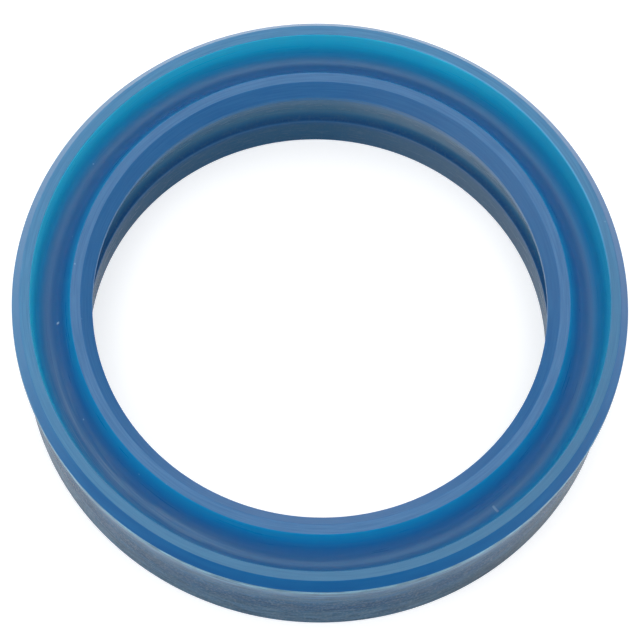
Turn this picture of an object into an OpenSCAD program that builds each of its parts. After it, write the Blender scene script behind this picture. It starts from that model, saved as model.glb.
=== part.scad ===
// U-cup rod seal: a one-piece moulded ring with an open U-groove between two sealing lips,
// a relief groove in the bore and a secondary lip at the top of the heel bore.
// Axis along Z, heel down on z = 0, lips up. Sizes in millimetres.

/* [Heel] */
// Overall height, from the heel face to the top of the outer lip
height = 10; // [9:0.1:12]
// Outer diameter of the heel
heel_d = 44.4; // [43.6:0.1:45]
// Bore diameter of the heel, where the secondary lip touches the rod
heel_bore_d = 34.8; // [34.5:0.05:35.2]
// Edge break at the two bottom corners
heel_break = 0.1; // [0.05:0.05:0.3]

/* [Outer lip] */
// Largest diameter, at the outer sealing land
outer_lip_d = 46; // [45.4:0.1:46.8]
// Height of the outer sealing land
outer_land_h = 0.5; // [0.3:0.05:0.8]
// Height above the heel face where the outer wall starts to flare
flare_z = 4.6; // [3.5:0.1:6]
// Width of the bevel at the top of the outer lip
outer_bevel_w = 0.6; // [0.4:0.05:0.8]
// Height of the bevel at the top of the outer lip
outer_bevel_h = 0.85; // [0.5:0.05:1.2]
// Width of the flat at the top of the outer lip
outer_flat_w = 0.75; // [0.5:0.05:0.95]

/* [Inner lip] */
// Smallest diameter, at the inner sealing land
inner_lip_d = 34; // [33.4:0.1:34.4]
// Height of the inner sealing land
inner_land_h = 0.4; // [0.3:0.05:0.7]
// How far the inner lip ends below the outer lip
inner_drop = 0.4; // [0:0.05:0.8]
// Width of the bevel at the top of the inner lip
inner_bevel_w = 0.9; // [0.6:0.05:1.1]
// Height of the bevel at the top of the inner lip
inner_bevel_h = 0.9; // [0.5:0.05:1.2]
// Width of the flat at the top of the inner lip
inner_flat_w = 0.75; // [0.5:0.05:0.95]

/* [U-groove] */
// Depth of the groove below the top of the outer lip
groove_depth = 2.6; // [2.2:0.1:3.6]
// Radius of the rounded groove bottom
groove_r = 1; // [0.7:0.05:1.1]
// How far the groove bottom lies outward of the middle between the two flats
groove_shift = 0.2; // [0:0.05:0.3]

/* [Relief groove] */
// Height of the relief groove's middle above the heel face
relief_z = 4.35; // [3.6:0.05:5]
// Radius of the relief groove's round section
relief_r = 0.95; // [0.7:0.05:1.2]
// Depth of the relief groove into the heel bore
relief_depth = 0.5; // [0.3:0.05:0.6]

/* [Hidden] */
$fn = 180;
heel_or = heel_d / 2;
heel_ir = heel_bore_d / 2;
outer_lip_r = outer_lip_d / 2;
inner_lip_r = inner_lip_d / 2;
inner_top = height - inner_drop;
outer_flat_out = outer_lip_r - outer_bevel_w;
outer_flat_in = outer_flat_out - outer_flat_w;
inner_flat_in = inner_lip_r + inner_bevel_w;
inner_flat_out = inner_flat_in + inner_flat_w;
outer_land_top = height - outer_bevel_h;
inner_land_top = inner_top - inner_bevel_h;
groove_c = [(inner_flat_out + outer_flat_in) / 2 + groove_shift, height - groove_depth + groove_r];
relief_c = [heel_ir + relief_depth - relief_r, relief_z];
inner_land_end = [inner_lip_r, inner_land_top - inner_land_h];
inner_flat_edge = [inner_flat_out, inner_top];
outer_flat_edge = [outer_flat_in, height];
overlap = 0.001;

// Point just inside the round groove at c where the straight wall from p meets it, side = 1 outer, -1 inner
function touch(p, c, r, side) =
    let (d = p - c)
    let (reach = r - overlap)
    let (turn = atan2(d[1], d[0]) - side * acos(reach / norm(d)))
    c + reach * [cos(turn), sin(turn)];

module outline() {
    polygon([
        [heel_ir + heel_break, 0],
        [heel_or - heel_break, 0],
        [heel_or, heel_break],
        [heel_or, flare_z],
        [outer_lip_r, outer_land_top - outer_land_h],
        [outer_lip_r, outer_land_top],
        [outer_flat_out, height],
        outer_flat_edge,
        inner_flat_edge,
        [inner_flat_in, inner_top],
        [inner_lip_r, inner_land_top],
        inner_land_end,
        touch(inner_land_end, relief_c, relief_r, 1),
        [heel_ir, relief_z],
        [heel_ir, heel_break],
    ]);
}

module groove_section() {
    translate(groove_c)
        circle(groove_r);
    polygon([
        touch(inner_flat_edge, groove_c, groove_r, -1),
        touch(outer_flat_edge, groove_c, groove_r, 1),
        outer_flat_edge,
        [outer_flat_in, height + groove_r],
        [inner_flat_out, height + groove_r],
        inner_flat_edge,
    ]);
}

module section() {
    difference() {
        outline();
        groove_section();
        translate(relief_c)
            circle(relief_r);
    }
}

module seal_ring() {
    color([0.16, 0.40, 0.66])
        rotate_extrude()
            section();
}

seal_ring();
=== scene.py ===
"""U-cup rod seal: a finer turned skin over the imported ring, polyurethane materials, studio and camera."""

import math

import bpy
from mathutils import Matrix, Vector


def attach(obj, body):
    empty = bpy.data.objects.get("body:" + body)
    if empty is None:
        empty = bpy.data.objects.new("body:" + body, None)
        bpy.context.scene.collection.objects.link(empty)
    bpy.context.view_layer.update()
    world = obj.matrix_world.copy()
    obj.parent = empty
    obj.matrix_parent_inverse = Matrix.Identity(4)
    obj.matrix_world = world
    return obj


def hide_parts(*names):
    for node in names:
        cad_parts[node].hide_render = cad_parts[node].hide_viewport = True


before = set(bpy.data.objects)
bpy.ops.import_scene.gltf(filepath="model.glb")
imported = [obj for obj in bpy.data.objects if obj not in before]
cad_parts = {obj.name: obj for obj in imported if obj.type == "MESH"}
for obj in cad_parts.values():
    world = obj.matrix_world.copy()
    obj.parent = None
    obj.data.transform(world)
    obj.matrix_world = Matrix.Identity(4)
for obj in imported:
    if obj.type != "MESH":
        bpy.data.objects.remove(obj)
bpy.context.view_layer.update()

# Lengths are in mm and angles in degrees. Azimuth 0 is the right of the ring, 90 its back, 180 its left and
# 270 its front, where the camera stands. Heights are above the heel's face.
MM = 0.001
NODE = "seal_ring"
SAME = 0.004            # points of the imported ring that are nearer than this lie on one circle

# Skin
TURNS = 384             # steps round the ring
SHARP_TURN = 24         # an edge that turns by more than this is rounded
EDGE_R = 0.1            # rounding of the moulded and trimmed edges
EDGE_STEPS = 3          # steps in each rounded edge
EDGE_SHARE = 0.3        # the most that a rounded edge takes of a straight beside it
EDGE_SUPPORT = 1.5      # where a point holds that straight, in lengths of the rounded edge from the corner
HEEL_TOP = 0.25         # the heel's face and its two broken edges lie below this height

# Polyurethane
LIGHT_REACH = (0.15, 0.8, 1.0)   # how far red, green and blue light go into it, in lengths of REACH_SCALE
REACH_SCALE = 0.6
SHEEN = (0.6, 0.9, 1.0, 1.0)     # the slightly blue tint of its reflections
MOULDED_IOR = 1.5
WALL_IOR = 1.09                  # the scuffed walls mirror less
BORE_IOR = 1.06

# Patterns
NOISE_LOW, NOISE_HIGH = 0.3, 0.7      # most of a noise lies between these values
STREAK_DETAIL, GRAIN_DETAIL = 3.0, 2.0
MARK_EDGE = 0.05                      # half the width of a single mark's soft edge
DUST_PER_MM = 0.4                     # cells of the dust, with one speck in each
DUST_CORE, DUST_EDGE = 0.012, 0.035   # a speck is full up to the first and ends at the second, in cells

# Floor
FLOOR_HALF = 3000       # half its side
FLOOR_GAP = 0.02        # it lies this far below the heel's face, so that the two don't share one height
FLOOR_PAINT = (0.8, 0.8, 0.8, 1)
# What the camera sees on top of the lit paint: white in the open, with the seal's faint shadow close by
FLOOR_WHITE = 0.45
# Its glow in the seal's reflections, at distances from the axis
FLOOR_GLOW = [(0, 0.45), (17, 0.45), (20, 0.28), (27, 0.28), (45, 1.0), (60, 1.0), (160, 0.0)]
DIM_AZIMUTH = 276       # that glow is dimmed at this azimuth
DIM_SPREAD = 45.57      # and up to this angle to each side of it

LAMP_DISTANCE = 700     # of each softbox from the seal

# Camera, fitted to the edge circles of the photograph
CAMERA_ELEVATION = 67.23
CAMERA_DISTANCE = 368   # from the centre of the outer sealing edge
CAMERA_LENS = 277.5
CAMERA_SENSOR = 36
CAMERA_ROLL = 3.536     # the picture's tilt
AIM_DROP = 1.40         # the camera aims this far below that centre
AIM_SIDE = 0.06         # and this far to the right


def srgb(r, g, b):
    """A colour as seen on a screen, 0 to 255, as linear RGBA."""
    def linear(c):
        c /= 255
        return c / 12.92 if c <= 0.04045 else ((c + 0.055) / 1.055) ** 2.4
    return (linear(r), linear(g), linear(b), 1.0)


def add(name, data):
    """A new object in the scene."""
    obj = bpy.data.objects.new(name, data)
    bpy.context.scene.collection.objects.link(obj)
    return obj


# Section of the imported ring

def section(obj):
    """The turned solid's section as [(r, z), ...], in order round it from the heel's inner corner outward."""
    circles, owner = [], []
    for v in obj.data.vertices:
        r, z = math.hypot(v.co.x, v.co.y) / MM, v.co.z / MM
        for i, (cr, cz) in enumerate(circles):
            if abs(cr - r) < SAME and abs(cz - z) < SAME:
                owner.append(i)
                break
        else:
            owner.append(len(circles))
            circles.append((r, z))
    joined = {i: set() for i in range(len(circles))}
    for e in obj.data.edges:
        a, b = (owner[i] for i in e.vertices)
        if a != b:
            joined[a].add(b)
            joined[b].add(a)
    heel = sorted((i for i in joined if circles[i][1] < SAME), key=lambda i: circles[i][0])
    path = [heel[0], heel[-1]]
    while True:
        onward = [i for i in joined[path[-1]] if i not in path]
        if not onward:
            return [circles[i] for i in path]
        path.append(onward[0])


def soften(points):
    """Rounds the sharp corners of a closed section, with a support point on the straight at each side."""
    out = []
    for i, corner in enumerate(points):
        c = Vector(corner)
        to_last = Vector(points[i - 1]) - c
        to_next = Vector(points[(i + 1) % len(points)]) - c
        turn = math.pi - to_last.angle(to_next)
        if math.degrees(turn) < SHARP_TURN:
            out.append(corner)
            continue
        run = min(EDGE_R * math.tan(turn / 2), EDGE_SHARE * to_last.length, EDGE_SHARE * to_next.length)
        back, onward = to_last.normalized() * run, to_next.normalized() * run
        out.append(tuple(c + back * EDGE_SUPPORT))
        for k in range(EDGE_STEPS + 1):
            t = k / EDGE_STEPS
            out.append(tuple((c + back) * (1 - t) ** 2 + c * 2 * t * (1 - t) + (c + onward) * t ** 2))
        out.append(tuple(c + onward * EDGE_SUPPORT))
    return out


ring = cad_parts[NODE]
corners = section(ring)
top_z = max(z for r, z in corners)
outer_r = max(r for r, z in corners)
inner_r = min(r for r, z in corners)
outer_flat = [r for r, z in corners if z > top_z - SAME]
outer_flat_in, outer_flat_out = min(outer_flat), max(outer_flat)
inner_half = [(r, z) for r, z in corners if r < (inner_r + outer_r) / 2]
inner_top = max(z for r, z in inner_half)
inner_flat = [r for r, z in inner_half if z > inner_top - SAME]
inner_flat_in, inner_flat_out = min(inner_flat), max(inner_flat)
groove_z, groove_r = min((z, r) for r, z in corners if inner_flat_out < r < outer_flat_in)
outer_land_z = max(z for r, z in corners if r > outer_r - SAME)
inner_land_z = max(z for r, z in corners if r < inner_r + SAME)


# Materials

class Wiring:
    """A material or a world being wired: short calls for the nodes used here."""

    def __init__(self, owner):
        owner.use_nodes = True
        self.tree = owner.node_tree

    def feed(self, socket, value):
        """Puts a constant or another node's output into a socket."""
        if isinstance(value, bpy.types.NodeSocket):
            self.tree.links.new(value, socket)
        else:
            socket.default_value = value

    def node(self, kind, feeds=(), **settings):
        """A new node with its settings; feeds gives what goes into its sockets, by their names or numbers."""
        n = self.tree.nodes.new(kind)
        for key, value in settings.items():
            setattr(n, key, value)
        for socket, value in dict(feeds).items():
            self.feed(n.inputs[socket], value)
        return n

    def math(self, operation, *values):
        """One operation on constants and outputs."""
        return self.node("ShaderNodeMath", enumerate(values), operation=operation).outputs[0]

    def times(self, product, *others):
        """The product of constants and outputs."""
        for value in others:
            product = self.math("MULTIPLY", product, value)
        return product

    def span(self, source, low, high, to_low=0.0, to_high=1.0):
        """A value from low to high drawn over to_low to to_high, and held beyond them."""
        values = (source, low, high, to_low, to_high)
        return self.node("ShaderNodeMapRange", enumerate(values)).outputs[0]

    def ramp(self, source, stops):
        """Colours along a value: stops are (value, colour) in rising order."""
        low, high = stops[0][0], stops[-1][0]
        n = self.node("ShaderNodeValToRGB", {"Fac": self.span(source, low, high)})
        elements = n.color_ramp.elements
        while len(elements) < len(stops):
            elements.new(0.5)   # anywhere, until its place is set below
        for element, (value, colour) in zip(elements, stops):
            element.position = (value - low) / (high - low)
            element.color = colour
        return n.outputs["Color"]


class Sheet(Wiring):
    """A material that goes by each point's radius r, height z and azimuth, given as its cosine and sine."""

    def __init__(self, name):
        self.material = bpy.data.materials.new(name)
        super().__init__(self.material)
        self.shader = self.tree.nodes["Principled BSDF"]
        self.place = self.node("ShaderNodeTexCoord").outputs["Object"]
        x, y, z = self.node("ShaderNodeSeparateXYZ", {"Vector": self.place}).outputs
        r = self.math("SQRT", self.math("ADD", self.times(x, x), self.times(y, y)))
        self.cos, self.sin = self.math("DIVIDE", x, r), self.math("DIVIDE", y, r)
        self.r, self.z = self.math("DIVIDE", r, MM), self.math("DIVIDE", z, MM)

    def outer_lip(self):
        """1 outside the middle of the groove and 0 inside it."""
        return self.math("GREATER_THAN", self.r, groove_r)

    def facing(self, azimuth, inside, outside):
        """1 round an azimuth and 0 farther off, falling between two angles from it."""
        a = math.radians(azimuth)
        along = self.math("ADD", self.times(self.cos, math.cos(a)), self.times(self.sin, math.sin(a)))
        return self.span(along, math.cos(math.radians(outside)), math.cos(math.radians(inside)))

    def mark(self, azimuth, half_turn, low, high):
        """1 on a small spot round an azimuth, between two radii, and 0 beyond its soft edge."""
        return self.times(
            self.span(self.r, low - MARK_EDGE, low + MARK_EDGE),
            self.span(self.r, high + MARK_EDGE, high - MARK_EDGE),
            self.facing(azimuth, half_turn / 2, half_turn))

    def noise(self, place, scale, detail):
        """Noise at a place, with scale bumps to its unit."""
        feeds = {"Vector": place, "Scale": scale, "Detail": detail}
        return self.node("ShaderNodeTexNoise", feeds).outputs["Fac"]

    def grain(self, per_mm):
        """Even noise, per_mm bumps to the millimetre."""
        return self.noise(self.place, per_mm / MM, GRAIN_DETAIL)

    def streaks(self, along, across, detail=STREAK_DETAIL):
        """Noise drawn out round the ring: along is its frequency there, across that per mm of the section."""
        place = self.node("ShaderNodeCombineXYZ", {
            "X": self.times(self.cos, along),
            "Y": self.times(self.sin, along),
            "Z": self.times(self.math("ADD", self.r, self.z), across)})
        return self.noise(place.outputs[0], 1.0, detail)

    def tones(self, noise, low, high):
        """Colours from low to high along a noise."""
        return self.ramp(noise, [(NOISE_LOW, low), (NOISE_HIGH, high)])

    def mix(self, share, under, over):
        """A colour over another, by its share."""
        feeds = {"Factor": share, "A": under, "B": over}
        return self.node("ShaderNodeMix", feeds, data_type="RGBA").outputs["Result"]

    def specks(self, colour):
        """Sparse pale dust over a colour."""
        cells = self.node("ShaderNodeTexVoronoi", {"Vector": self.place, "Scale": DUST_PER_MM / MM})
        dust = self.span(cells.outputs["Distance"], DUST_EDGE, DUST_CORE)
        return self.mix(dust, colour, srgb(128, 168, 198))

    def bump(self, height, depth, strength):
        """Small unevenness of the surface, depth at its most."""
        n = self.node("ShaderNodeBump", {"Height": height, "Distance": depth * MM, "Strength": strength})
        self.feed(self.shader.inputs["Normal"], n.outputs[0])

    def finish(self, colour, noise, roughness, specular, through, ior=MOULDED_IOR):
        """The finished material: roughness is low and high along a noise, through is the light let in."""
        looks = {
            "Base Color": colour,
            "Roughness": self.span(noise, NOISE_LOW, NOISE_HIGH, *roughness),
            "IOR": ior,
            "Specular IOR Level": specular,
            "Specular Tint": SHEEN,
            "Subsurface Weight": through,
            "Subsurface Radius": LIGHT_REACH,
            "Subsurface Scale": REACH_SCALE * MM,
        }
        for name, value in looks.items():
            self.feed(self.shader.inputs[name], value)
        return self.material


def flat_material():
    """The trimmed tops of the lips: the outer one has painted shade in front and a painted highlight on its
    inner edge at the right back.
    """
    s = Sheet("trimmed_flat")
    edge_full, edge_end = 0.06, 0.14   # the painted highlight on the edge is full up to the first and ends at the second
    tone = s.streaks(along=6, across=9)
    inner = s.tones(tone, srgb(58, 99, 145), srgb(74, 115, 159))
    outer = s.tones(tone, srgb(62, 113, 154), srgb(78, 129, 168))
    colour = s.mix(s.outer_lip(), inner, outer)
    # Painted shade: the outer flat is darkened towards the front right.
    painted_front_shade = s.times(s.outer_lip(), s.facing(300, inside=40, outside=110), 0.4)
    colour = s.mix(painted_front_shade, colour, srgb(58, 91, 122))
    # Painted highlight: a pale line along the outer flat's inner edge at the right back.
    edge = s.span(s.r, outer_flat_in + edge_end, outer_flat_in + edge_full)
    edge = s.times(s.outer_lip(), edge, s.facing(46, inside=20, outside=40))
    colour = s.mix(edge, colour, srgb(84, 148, 190))
    s.bump(s.grain(6), depth=0.02, strength=0.3)
    return s.finish(s.specks(colour), tone, roughness=(0.4, 0.5), specular=0.4, through=0.4)


def bevel_material():
    """The bevels of the lips: the outer one is a darker blue as painted shade, lightened by painted light at
    the back and left; the inner one has a painted highlight at the right back.
    """
    s = Sheet("moulded_bevel")
    tone = s.streaks(along=5, across=7)
    # Painted shade: the outer bevel gets a darker blue than the inner one.
    outer = s.tones(tone, srgb(6, 82, 140), srgb(14, 94, 150))
    # Painted light: the outer bevel is lightened at the back and left.
    outer = s.mix(s.times(s.facing(125, inside=70, outside=100), 0.75), outer, srgb(62, 118, 162))
    inner = s.tones(tone, srgb(39, 93, 146), srgb(50, 105, 156))
    # Painted highlight: the inner bevel is lightened at the right back.
    inner = s.mix(s.times(s.facing(38, inside=20, outside=55), 0.25), inner, srgb(90, 115, 150))
    colour = s.mix(s.outer_lip(), inner, outer)
    s.bump(s.grain(6), depth=0.01, strength=0.2)
    return s.finish(s.specks(colour), tone, roughness=(0.3, 0.33), specular=0.3, through=0.5)


def groove_material():
    """The U-groove: its walls paler up to the lip tops in painted glow, painted shade on the right, scuffed
    streaks with a painted highlight at the front left, a scratch and a speck.
    """
    s = Sheet("moulded_groove")
    half_bottom = 0.3   # the two walls' colours meet within this distance of the bottom's middle
    tone = s.streaks(along=3, across=9, detail=4.0)
    rise = s.math("SUBTRACT", s.z, groove_z)
    # Painted glow and shade over the material's own blue: the walls rise from a darker bottom to bright teal
    # at the lip tops, the outer wall brighter than the inner, as light let through the thin lips would show.
    bottom = srgb(53, 98, 146)
    outer = s.ramp(rise, [
        (0.0, bottom), (0.3, srgb(38, 133, 180)), (1.0, srgb(20, 164, 205)),
        (1.7, srgb(38, 183, 219)), (top_z - groove_z, srgb(58, 193, 221))])
    inner = s.ramp(rise, [
        (0.0, bottom), (0.3, srgb(64, 111, 162)), (0.9, srgb(35, 106, 162)),
        (1.4, srgb(18, 117, 173)), (inner_top - groove_z, srgb(18, 136, 185))])
    colour = s.mix(s.span(s.r, groove_r - half_bottom, groove_r + half_bottom), inner, outer)
    # Painted shade: the outer side of the groove is darkened at the right.
    painted_side_shade = s.times(s.span(s.r, groove_r, groove_r + half_bottom), s.facing(0, inside=20, outside=65), 0.5)
    colour = s.mix(painted_side_shade, colour, srgb(18, 118, 170))
    colour = s.mix(s.span(tone, 0.4, 0.7, to_high=0.2), colour, srgb(60, 112, 160))
    # Fine scratches low in the groove at the front left, painted pale as the highlight they catch.
    scuffs_and_highlight = s.span(s.streaks(along=4, across=8, detail=5.0), 0.42, 0.62, to_high=0.7)
    scuffs_and_highlight = s.times(s.facing(226, inside=14, outside=36), s.span(rise, 0.6, 0.15), scuffs_and_highlight)
    colour = s.mix(scuffs_and_highlight, colour, srgb(96, 126, 160))
    scratch = s.mark(312.7, half_turn=0.3, low=groove_r - 0.25, high=groove_r + 0.35)
    colour = s.mix(s.times(scratch, 0.6), colour, srgb(140, 165, 190))
    speck = s.mark(187.3, half_turn=0.3, low=groove_r - 0.8, high=groove_r - 0.66)
    colour = s.mix(speck, colour, srgb(190, 208, 224))
    s.bump(tone, depth=0.02, strength=0.5)
    return s.finish(s.specks(colour), tone, roughness=(0.26, 0.36), specular=0.4, through=0.8)


def wall_material():
    """The scuffed outer wall, from the heel up to the sealing land, with painted shade low at the right
    front.
    """
    s = Sheet("scuffed_wall")
    broad = s.streaks(along=9, across=1.2, detail=2.0)
    fine = s.streaks(along=14, across=5, detail=5.0)
    colour = s.ramp(s.z, [
        (0.0, srgb(79, 110, 134)), (1.4, srgb(72, 108, 138)), (2.2, srgb(61, 103, 136)),
        (3.1, srgb(41, 84, 124)), (3.9, srgb(44, 89, 129)), (4.9, srgb(62, 110, 148)),
        (6.2, srgb(71, 116, 154)), (7.2, srgb(84, 126, 164)), (8.2, srgb(112, 155, 190)),
        (outer_land_z - 0.5, srgb(117, 154, 180)), (outer_land_z - 0.3, srgb(136, 184, 209)),
        (outer_land_z, srgb(138, 188, 213))])
    colour = s.mix(s.span(broad, 0.42, 0.66, to_high=0.45), colour, srgb(88, 110, 126))
    colour = s.mix(s.span(fine, 0.42, 0.66, to_high=0.6), colour, srgb(26, 54, 82))
    colour = s.mix(s.span(s.streaks(along=7, across=2.2), 0.5, 0.7, to_high=0.45), colour, srgb(28, 56, 82))
    colour = s.mix(s.span(s.grain(5), 0.48, 0.72, to_high=0.5), colour, srgb(112, 132, 144))
    # Painted shade: the lower wall is darkened at the right front.
    painted_low_shade = s.times(s.span(s.z, 3.0, 1.6, to_high=0.35), s.facing(318, inside=10, outside=26))
    colour = s.mix(painted_low_shade, colour, srgb(42, 54, 60))
    s.bump(fine, depth=0.03, strength=0.4)
    return s.finish(colour, fine, roughness=(0.18, 0.26), specular=0.5, through=0.2, ior=WALL_IOR)


def bore_material():
    """The bore wall: heel bore, secondary lip, relief groove and inner lip, with painted light at the right
    back.
    """
    s = Sheet("bore_wall")
    tone = s.streaks(along=12, across=5, detail=5.0)
    # Painted shade darkens the relief groove just above the secondary lip, and a painted highlight lightens
    # the lip's edge below it.
    colour = s.ramp(s.z, [
        (0.0, srgb(38, 85, 121)), (2.7, srgb(42, 87, 121)), (3.2, srgb(38, 85, 129)),
        (3.4, srgb(48, 98, 144)), (3.52, srgb(40, 90, 138)), (3.6, srgb(26, 71, 120)),
        (4.0, srgb(46, 97, 137)), (4.4, srgb(70, 117, 150)), (5.2, srgb(80, 121, 150)),
        (6.6, srgb(75, 116, 146)), (8.1, srgb(57, 110, 148)), (8.25, srgb(56, 118, 173))])
    colour = s.mix(s.span(tone, 0.4, 0.7, to_high=0.35), colour, srgb(64, 92, 114))
    colour = s.mix(s.span(s.grain(5), 0.5, 0.75, to_high=0.25), colour, srgb(84, 108, 122))
    # Painted light: the taper above the relief groove and the heel bore below the secondary lip are lightened
    # at the right back.
    painted_right_light = s.math("ADD", s.span(s.z, 4.1, 4.6, to_high=0.36), s.span(s.z, 3.54, 3.4, to_high=0.2))
    colour = s.mix(s.times(painted_right_light, s.facing(38, inside=12, outside=52)), colour, srgb(150, 162, 172))
    s.bump(tone, depth=0.02, strength=0.3)
    return s.finish(colour, tone, roughness=(0.2, 0.3), specular=0.5, through=0.2, ior=BORE_IOR)


def heel_material():
    """The face that the seal stands on."""
    s = Sheet("heel_face")
    tone = s.grain(3)
    colour = s.tones(tone, srgb(46, 104, 152), srgb(62, 118, 164))
    s.bump(tone, depth=0.02, strength=0.3)
    return s.finish(colour, tone, roughness=(0.5, 0.65), specular=0.35, through=0.3)


SURFACES = {
    "flat": flat_material,
    "bevel": bevel_material,
    "groove": groove_material,
    "wall": wall_material,
    "bore": bore_material,
    "heel": heel_material,
}


# Skin

def surface(a, b):
    """Which surface of the seal the stretch of section from a to b belongs to."""
    r, z = (a[0] + b[0]) / 2, (a[1] + b[1]) / 2
    if z < HEEL_TOP:
        return "heel"
    if r >= outer_flat_in:
        if z < outer_land_z:
            return "wall"
        return "bevel" if r > outer_flat_out else "flat"
    if r > inner_flat_out:
        return "groove"
    if z < inner_land_z:
        return "bore"
    return "flat" if r >= inner_flat_in else "bevel"


def turned_skin(name, points):
    """A ring turned from the section, with each stretch of it in its surface's material."""
    count = len(points)
    kinds = list(SURFACES)
    stretches = [kinds.index(surface(points[j], points[(j + 1) % count])) for j in range(count)]
    verts, faces = [], []
    for i in range(TURNS):
        a = 2 * math.pi * i / TURNS
        verts += [(r * MM * math.cos(a), r * MM * math.sin(a), z * MM) for r, z in points]
        here, there = i * count, (i + 1) % TURNS * count
        for j in range(count):
            k = (j + 1) % count
            faces.append((here + j, there + j, there + k, here + k))
    mesh = bpy.data.meshes.new(name)
    mesh.from_pydata(verts, [], faces)
    for make in SURFACES.values():
        mesh.materials.append(make())
    mesh.polygons.foreach_set("material_index", stretches * TURNS)
    mesh.polygons.foreach_set("use_smooth", [True] * len(faces))
    mesh.update()
    return add(name, mesh)


skin = turned_skin("seal_ring_skin", soften(corners))
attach(skin, "root")
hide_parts(NODE)


# Studio

def floor_material():
    """Pale matt paint, with a white that only the camera sees and a glow that only reflections see."""
    s = Sheet("pale_floor")
    s.tree.nodes.remove(s.shader)
    paint = s.node("ShaderNodeBsdfDiffuse", {"Color": FLOOR_PAINT})
    seen_by = s.node("ShaderNodeLightPath").outputs
    white = s.times(seen_by["Is Camera Ray"], FLOOR_WHITE)
    glow = s.ramp(s.r, [(r, (strength, strength, strength, 1)) for r, strength in FLOOR_GLOW])
    undimmed = s.math("SUBTRACT", 1.0, s.facing(DIM_AZIMUTH, inside=0, outside=DIM_SPREAD))
    mirrored = s.times(seen_by["Is Glossy Ray"], glow, undimmed)
    light = s.node("ShaderNodeEmission", {"Strength": s.math("MAXIMUM", white, mirrored)})
    both = s.node("ShaderNodeAddShader", {0: paint.outputs[0], 1: light.outputs[0]})
    s.feed(s.tree.nodes["Material Output"].inputs["Surface"], both.outputs[0])
    return s.material


def studio_floor():
    """A wide pale square under the seal."""
    half = FLOOR_HALF * MM
    square = [(-half, -half, 0), (half, -half, 0), (half, half, 0), (-half, half, 0)]
    mesh = bpy.data.meshes.new("floor")
    mesh.from_pydata(square, [], [(0, 1, 2, 3)])
    mesh.materials.append(floor_material())
    floor = add("floor", mesh)
    floor.location.z = -FLOOR_GAP * MM


def softbox(name, azimuth, elevation, size, watts, mirrored=True):
    """A square lamp aimed at the seal, which mirrors it unless it is only a fill."""
    a, e = math.radians(azimuth), math.radians(elevation)
    towards = Vector((math.cos(a) * math.cos(e), math.sin(a) * math.cos(e), math.sin(e)))
    light = bpy.data.lights.new(name, "AREA")
    light.size = size * MM
    light.energy = watts
    lamp = add(name, light)
    lamp.location = towards * LAMP_DISTANCE * MM
    lamp.rotation_euler = (-towards).to_track_quat("-Z", "Y").to_euler()
    lamp.visible_glossy = mirrored


def studio_world(towards, dim, bright):
    """A white room that is brightest in one direction and dimmest opposite it."""
    world = bpy.data.worlds.new("studio")
    w = Wiring(world)
    place = w.node("ShaderNodeTexCoord").outputs["Generated"]
    feeds = {0: place, 1: Vector(towards).normalized()}
    along = w.node("ShaderNodeVectorMath", feeds, operation="DOT_PRODUCT").outputs["Value"]
    background = w.tree.nodes["Background"].inputs
    w.feed(background["Color"], (1, 1, 1, 1))
    w.feed(background["Strength"], w.span(along, -1, 1, dim, bright))
    bpy.context.scene.world = world


def photo_camera():
    """The photograph's camera: where it stands, what it aims at and its tilt."""
    e = math.radians(CAMERA_ELEVATION)
    centre = Vector((0, 0, outer_land_z * MM))
    away = Vector((0, -math.cos(e), math.sin(e)))
    right = Vector((1, 0, 0))
    up = away.cross(right)
    place = centre + away * CAMERA_DISTANCE * MM
    aim = centre + (right * AIM_SIDE - up * AIM_DROP) * MM
    # The picture's axes as the camera aims there, before its tilt
    back = (place - aim).normalized()
    right = up.cross(back).normalized()
    up = back.cross(right)
    tilt = math.radians(CAMERA_ROLL)
    x = right * math.cos(tilt) + up * math.sin(tilt)
    y = up * math.cos(tilt) - right * math.sin(tilt)
    data = bpy.data.cameras.new("photo_camera")
    data.lens = CAMERA_LENS
    data.sensor_width = CAMERA_SENSOR
    camera = add("photo_camera", data)
    camera.matrix_world = Matrix((x, y, back)).transposed().to_4x4()
    camera.matrix_world.translation = place
    bpy.context.scene.camera = camera


studio_floor()
studio_world(towards=(-0.1, 0.85, 0.45), dim=0.0, bright=1.15)
softbox("overhead", azimuth=90, elevation=88, size=450, watts=1.1)
softbox("front_fill", azimuth=270, elevation=38, size=500, watts=1.2, mirrored=False)
softbox("left_high", azimuth=225, elevation=64, size=250, watts=0.26)
softbox("right_high", azimuth=315, elevation=64, size=250, watts=0.2)
softbox("left_low", azimuth=208, elevation=16, size=500, watts=0.78)
softbox("right_low", azimuth=340, elevation=16, size=500, watts=0.55, mirrored=False)
photo_camera()
bpy.context.scene.view_settings.view_transform = "Standard"
